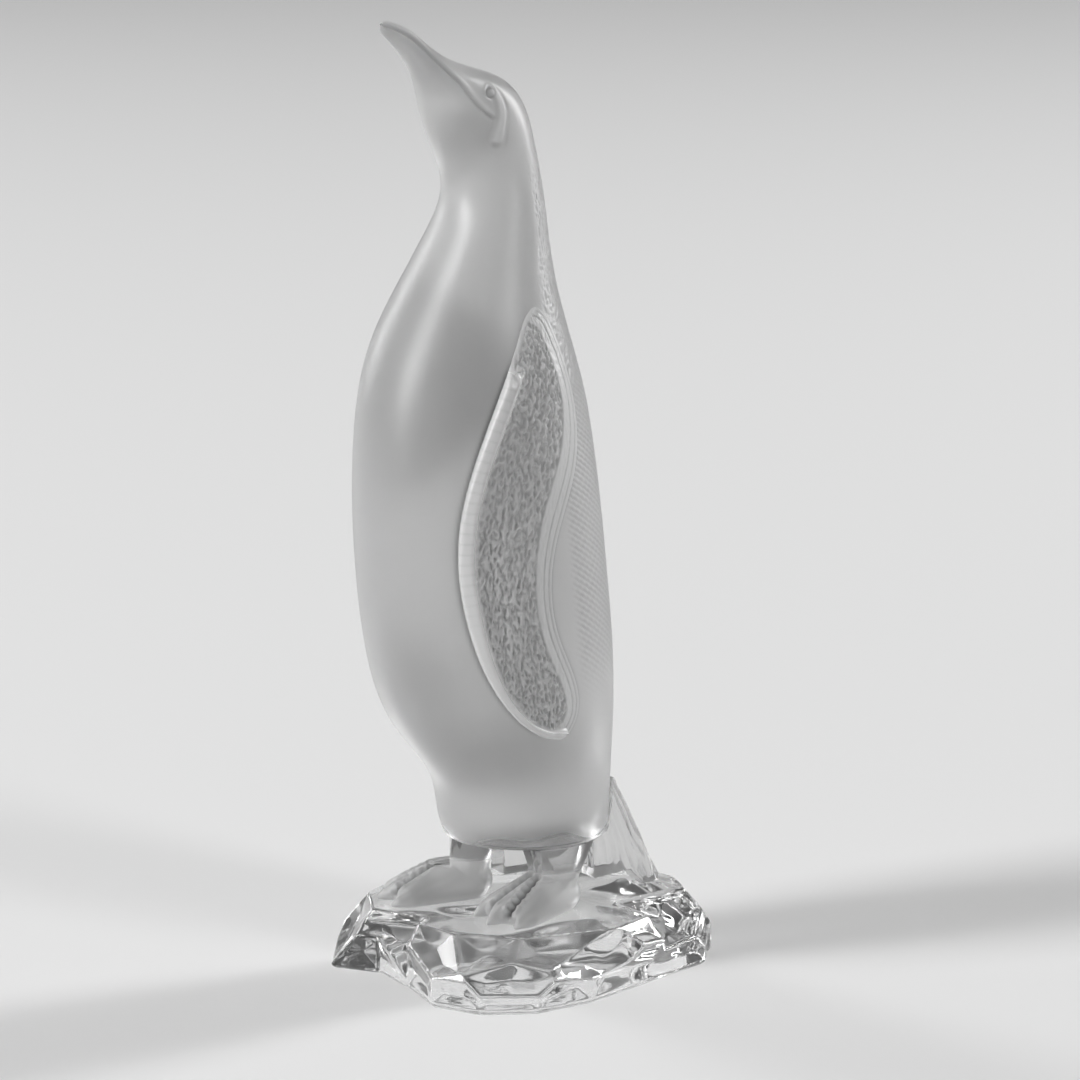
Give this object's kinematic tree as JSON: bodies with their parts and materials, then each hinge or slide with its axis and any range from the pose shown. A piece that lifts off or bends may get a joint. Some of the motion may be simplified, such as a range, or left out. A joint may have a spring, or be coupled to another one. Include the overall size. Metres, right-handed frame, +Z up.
{
  "type": "penguin figurine",
  "caption": "Frosted crystal penguin with raised head, engraved flippers and clear feet and tail, standing on a faceted ice base.",
  "frame": {"origin": "middle of the ice base's flat underside", "axes": "+Z up through the head; -Y is the way the penguin faces; +X is the penguin's left"},
  "size_m": [0.089, 0.094, 0.2392],
  "materials": {
    "frosted_crystal": "satin-frosted crystal, milky, with bright smooth rims",
    "engraved_crystal": "frosted crystal with fine engraved stipple and a polished raised rim",
    "satin_crystal": "satin-etched clear crystal",
    "clear_crystal": "polished clear crystal",
    "cured_adhesive": "water-clear film cured by ultraviolet light"
  },
  "bodies": {
    "root": {"body": "frosted_crystal", "left_flipper": "engraved_crystal", "right_flipper": "engraved_crystal", "left_foot": "satin_crystal", "right_foot": "satin_crystal", "tail": "clear_crystal", "ice_base": "clear_crystal", "flipper_bonds": "cured_adhesive", "ankle_bonds": "cured_adhesive", "sole_bonds": "cured_adhesive", "tail_bonds": "cured_adhesive"}
  },
  "joints": []
}
